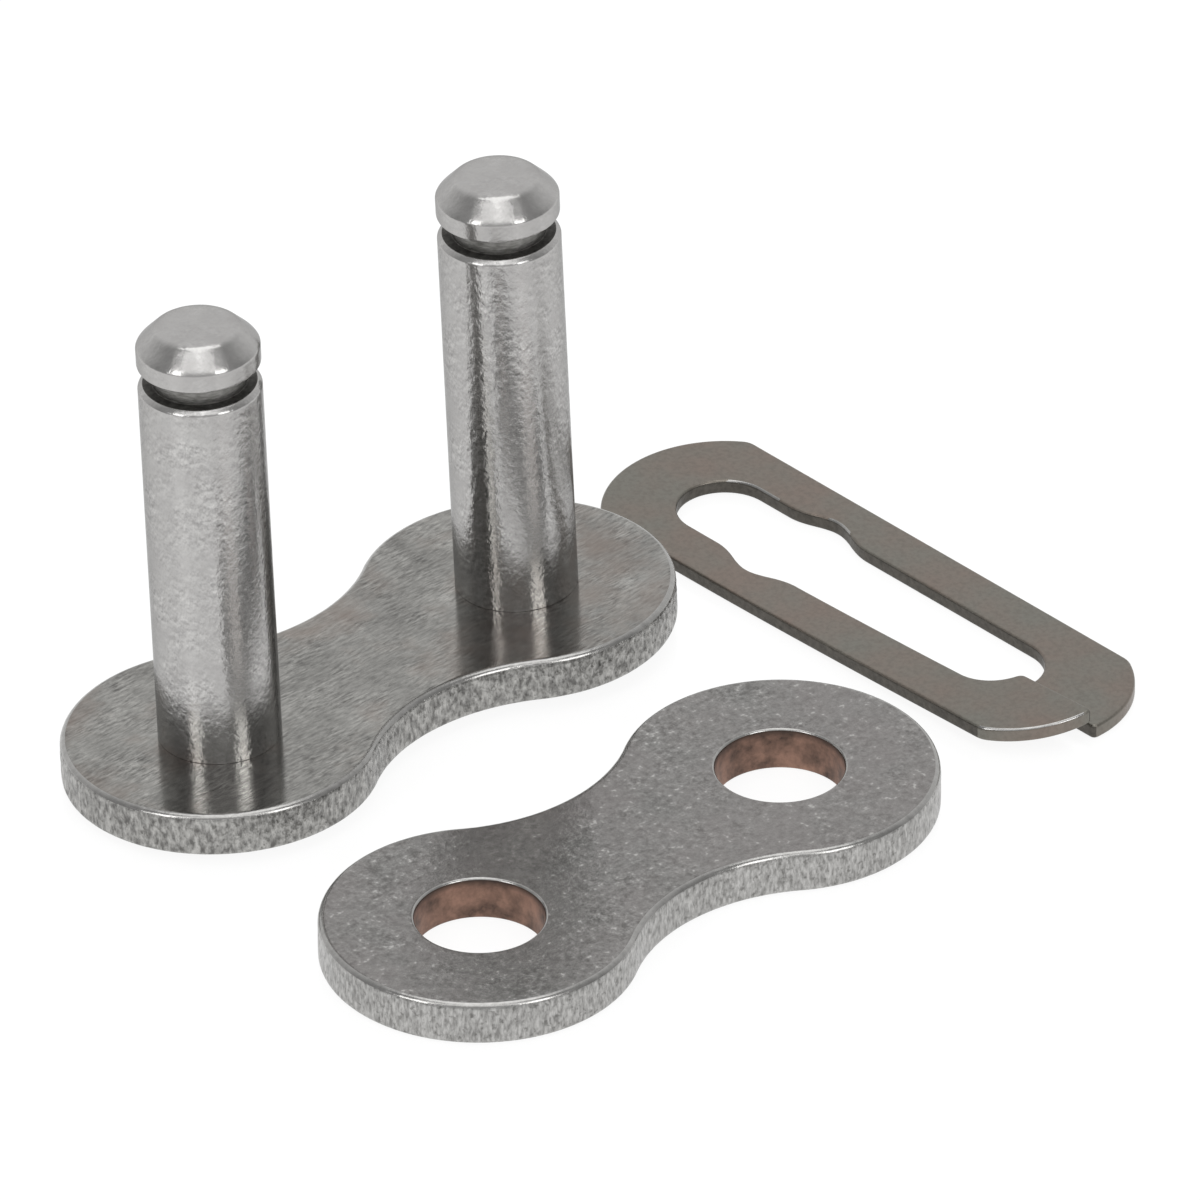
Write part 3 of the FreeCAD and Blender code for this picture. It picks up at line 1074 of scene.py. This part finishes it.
clip = stamping(
    "spring_clip_stamping",
    [(clip_outline(CLIP_CELL), CLIP_EDGE, CLIP_TORN)],
    CLIP_THICKNESS,
    cell=CLIP_CELL,
    tear_height=BLANKED_TEAR_HEIGHT,
    seed=51,
    bend=sprung,
)
clip_turned = Matrix.Rotation(math.radians(CLIP_TURN), 4, "Z")
clip.matrix_world = Matrix.Translation(Vector(CLIP_SEAT) * MM) @ clip_turned
for steel in (spring_steel, shade_painted_spring_wall, shade_painted_spring_wall, burnished_and_highlight_steel):
    clip.data.materials.append(steel)
# Only the near leg's end, where a tool pushes the clip on, and the far rims of the seat and of the
# pass hole are rubbed bright and painted light as a highlight. The split end's outer wall, where
# light falls, is left as light as the face, without the painted shade of the other walls.
for face in clip.data.polygons:
    x, y, _ = face.center / MM
    rubbed = x > PUSHED_FROM and y < PUSHED_BELOW
    for (x_from, x_to), (y_from, y_to) in (RUBBED_HIGHLIGHT_SEAT, RUBBED_HIGHLIGHT_PASS):
        rubbed = rubbed or (x_from < x < x_to and y_from < y < y_to)
    painted_lit_end = x > PUSHED_FROM and abs(y - SLIT_AT) > SLIT_WALL_REACH
    if (face.material_index == 3 and not rubbed) or (face.material_index == 1 and painted_lit_end):
        face.material_index = 0
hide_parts("spring_clip")
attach(clip, "root")


# The studio: a white paper sweep under the parts, soft boxes on both sides of the camera, in front
# and overhead, and a plain room that the steel reflects.

VIEW_AZIMUTH = -41.476
VIEW_ELEVATION = 33.099
VIEW_ROLL = -0.451
VIEW_DISTANCE = 879.49
VIEW_TARGET = (5.9011, 6.0634, 0.0)
VIEW_LENS = 822.65
SENSOR_WIDTH = 36
LAMP_DISTANCE = 350
SWEEP_HALF = 1500
SWEEP_DROP = 0.02

# White paper: matt, with fibres half a millimetre wide and the faintest sheen. The camera and the
# steel's reflections see it mostly as evenly white, as blank as the photo's.
PAPER_GLOW = 1.05
PAPER_BLANK = 0.85
paper = new_material("white_paper")
tree = paper.node_tree
where = add(tree, "ShaderNodeTexCoord").outputs["Object"]
rays = add(tree, "ShaderNodeLightPath")
fibre = add(
    tree, "ShaderNodeTexNoise", {"Vector": where, "Scale": 1 / (0.5 * MM), "Detail": 2.0}
).outputs["Fac"]
sheet = add(
    tree,
    "ShaderNodeMix",
    {0: fibre, 6: linear("#e0e0e0"), 7: linear("#e3e3e3")},
    data_type="RGBA",
).outputs[2]
matt = add(tree, "ShaderNodeBsdfDiffuse", {"Color": sheet}).outputs["BSDF"]
glow = add(
    tree, "ShaderNodeEmission", {"Color": linear("#ffffff"), "Strength": PAPER_GLOW}
).outputs["Emission"]
mirrored = add(
    tree,
    "ShaderNodeMath",
    {0: rays.outputs["Is Glossy Ray"], 1: rays.outputs["Is Transmission Ray"]},
)
shown = add(
    tree,
    "ShaderNodeMath",
    {0: rays.outputs["Is Camera Ray"], 1: mirrored.outputs[0]},
    use_clamp=True,
)
lifted = add(
    tree, "ShaderNodeMath", {0: shown.outputs[0], 1: PAPER_BLANK}, operation="MULTIPLY"
).outputs[0]
seen = add(tree, "ShaderNodeMixShader", {0: lifted, 1: matt, 2: glow})
sheen = add(
    tree, "ShaderNodeBsdfAnisotropic", {"Color": linear("#3f3f3f"), "Roughness": 0.25}
).outputs["BSDF"]
both = add(tree, "ShaderNodeAddShader", {0: seen.outputs["Shader"], 1: sheen})
add(tree, "ShaderNodeOutputMaterial", {"Surface": both.outputs["Shader"]})

sweep_mesh = bpy.data.meshes.new("paper_sweep")
square = [Vector(corner) for corner in ((-1, -1, 0), (1, -1, 0), (1, 1, 0), (-1, 1, 0))]
sweep_mesh.from_pydata([corner * SWEEP_HALF * MM for corner in square], [], [(0, 1, 2, 3)])
sweep = bpy.data.objects.new("paper_sweep", sweep_mesh)
sweep.data.materials.append(paper)
sweep.location.z = -SWEEP_DROP * MM
bpy.context.scene.collection.objects.link(sweep)

world = bpy.data.worlds.new("studio")
bpy.context.scene.world = world
world.use_nodes = True
tree = world.node_tree
tree.nodes.clear()
# The room is bright behind the parts, dim beside them, and a little lighter again behind the
# camera. The camera itself sees plain white.
front = (math.sin(math.radians(VIEW_AZIMUTH)), -math.cos(math.radians(VIEW_AZIMUTH)), 0.0)
facing = add(
    tree,
    "ShaderNodeVectorMath",
    {0: add(tree, "ShaderNodeTexCoord").outputs["Generated"], 1: front},
    operation="DOT_PRODUCT",
).outputs["Value"]
dim = add(
    tree, "ShaderNodeMapRange", {"Value": facing, 1: -0.75, 2: 0.1, 3: 0.95, 4: 0.4}
).outputs[0]
filled = add(
    tree, "ShaderNodeMapRange", {"Value": facing, 1: 0.55, 2: 0.82, 3: 0.0, 4: 0.25}
).outputs[0]
dim = add(tree, "ShaderNodeMath", {0: dim, 1: filled}, operation="ADD").outputs[0]
walls = add(tree, "ShaderNodeBackground", {"Color": linear("#ffffff"), "Strength": dim}).outputs[0]
white = add(tree, "ShaderNodeBackground", {"Color": linear("#ffffff"), "Strength": 1.0}).outputs[0]
camera_ray = add(tree, "ShaderNodeLightPath").outputs["Is Camera Ray"]
seen = add(tree, "ShaderNodeMixShader", {0: camera_ray, 1: walls, 2: white})
add(tree, "ShaderNodeOutputWorld", {"Surface": seen.outputs["Shader"]})

# Soft boxes, each turned to the parts: angles in degrees, sizes in millimetres, power in watts.
target = Vector(VIEW_TARGET) * MM
for name, azimuth, elevation, width, tall, power in (
    ("soft_box_left", VIEW_AZIMUTH - 45, 33, 100, 140, 0.16),
    ("soft_box_right", VIEW_AZIMUTH + 40, 33, 110, 140, 0.18),
    ("soft_box_front", VIEW_AZIMUTH - 5, 57, 320, 130, 0.15),
    ("soft_box_top", VIEW_AZIMUTH, 90, 260, 260, 0.3),
):
    lamp = bpy.data.lights.new(name, "AREA")
    lamp.shape = "RECTANGLE"
    lamp.size = width * MM
    lamp.size_y = tall * MM
    lamp.energy = power
    holder = bpy.data.objects.new(name, lamp)
    a, e = math.radians(azimuth), math.radians(elevation)
    away = Vector((math.sin(a) * math.cos(e), -math.cos(a) * math.cos(e), math.sin(e)))
    holder.location = target + away * LAMP_DISTANCE * MM
    holder.rotation_euler = away.to_track_quat("Z", "Y").to_euler()
    bpy.context.scene.collection.objects.link(holder)

lens = bpy.data.cameras.new("camera")
lens.sensor_width = SENSOR_WIDTH
lens.lens = VIEW_LENS
camera = bpy.data.objects.new("camera", lens)
level = (
    Matrix.Rotation(math.radians(VIEW_AZIMUTH), 4, "Z")
    @ Matrix.Rotation(math.radians(90 - VIEW_ELEVATION), 4, "X")
)
stand = Matrix.Translation(target + level.to_3x3() @ Vector((0, 0, VIEW_DISTANCE * MM)))
camera.matrix_world = stand @ level @ Matrix.Rotation(math.radians(VIEW_ROLL), 4, "Z")
bpy.context.scene.collection.objects.link(camera)
bpy.context.scene.camera = camera
bpy.context.scene.view_settings.view_transform = "Standard"
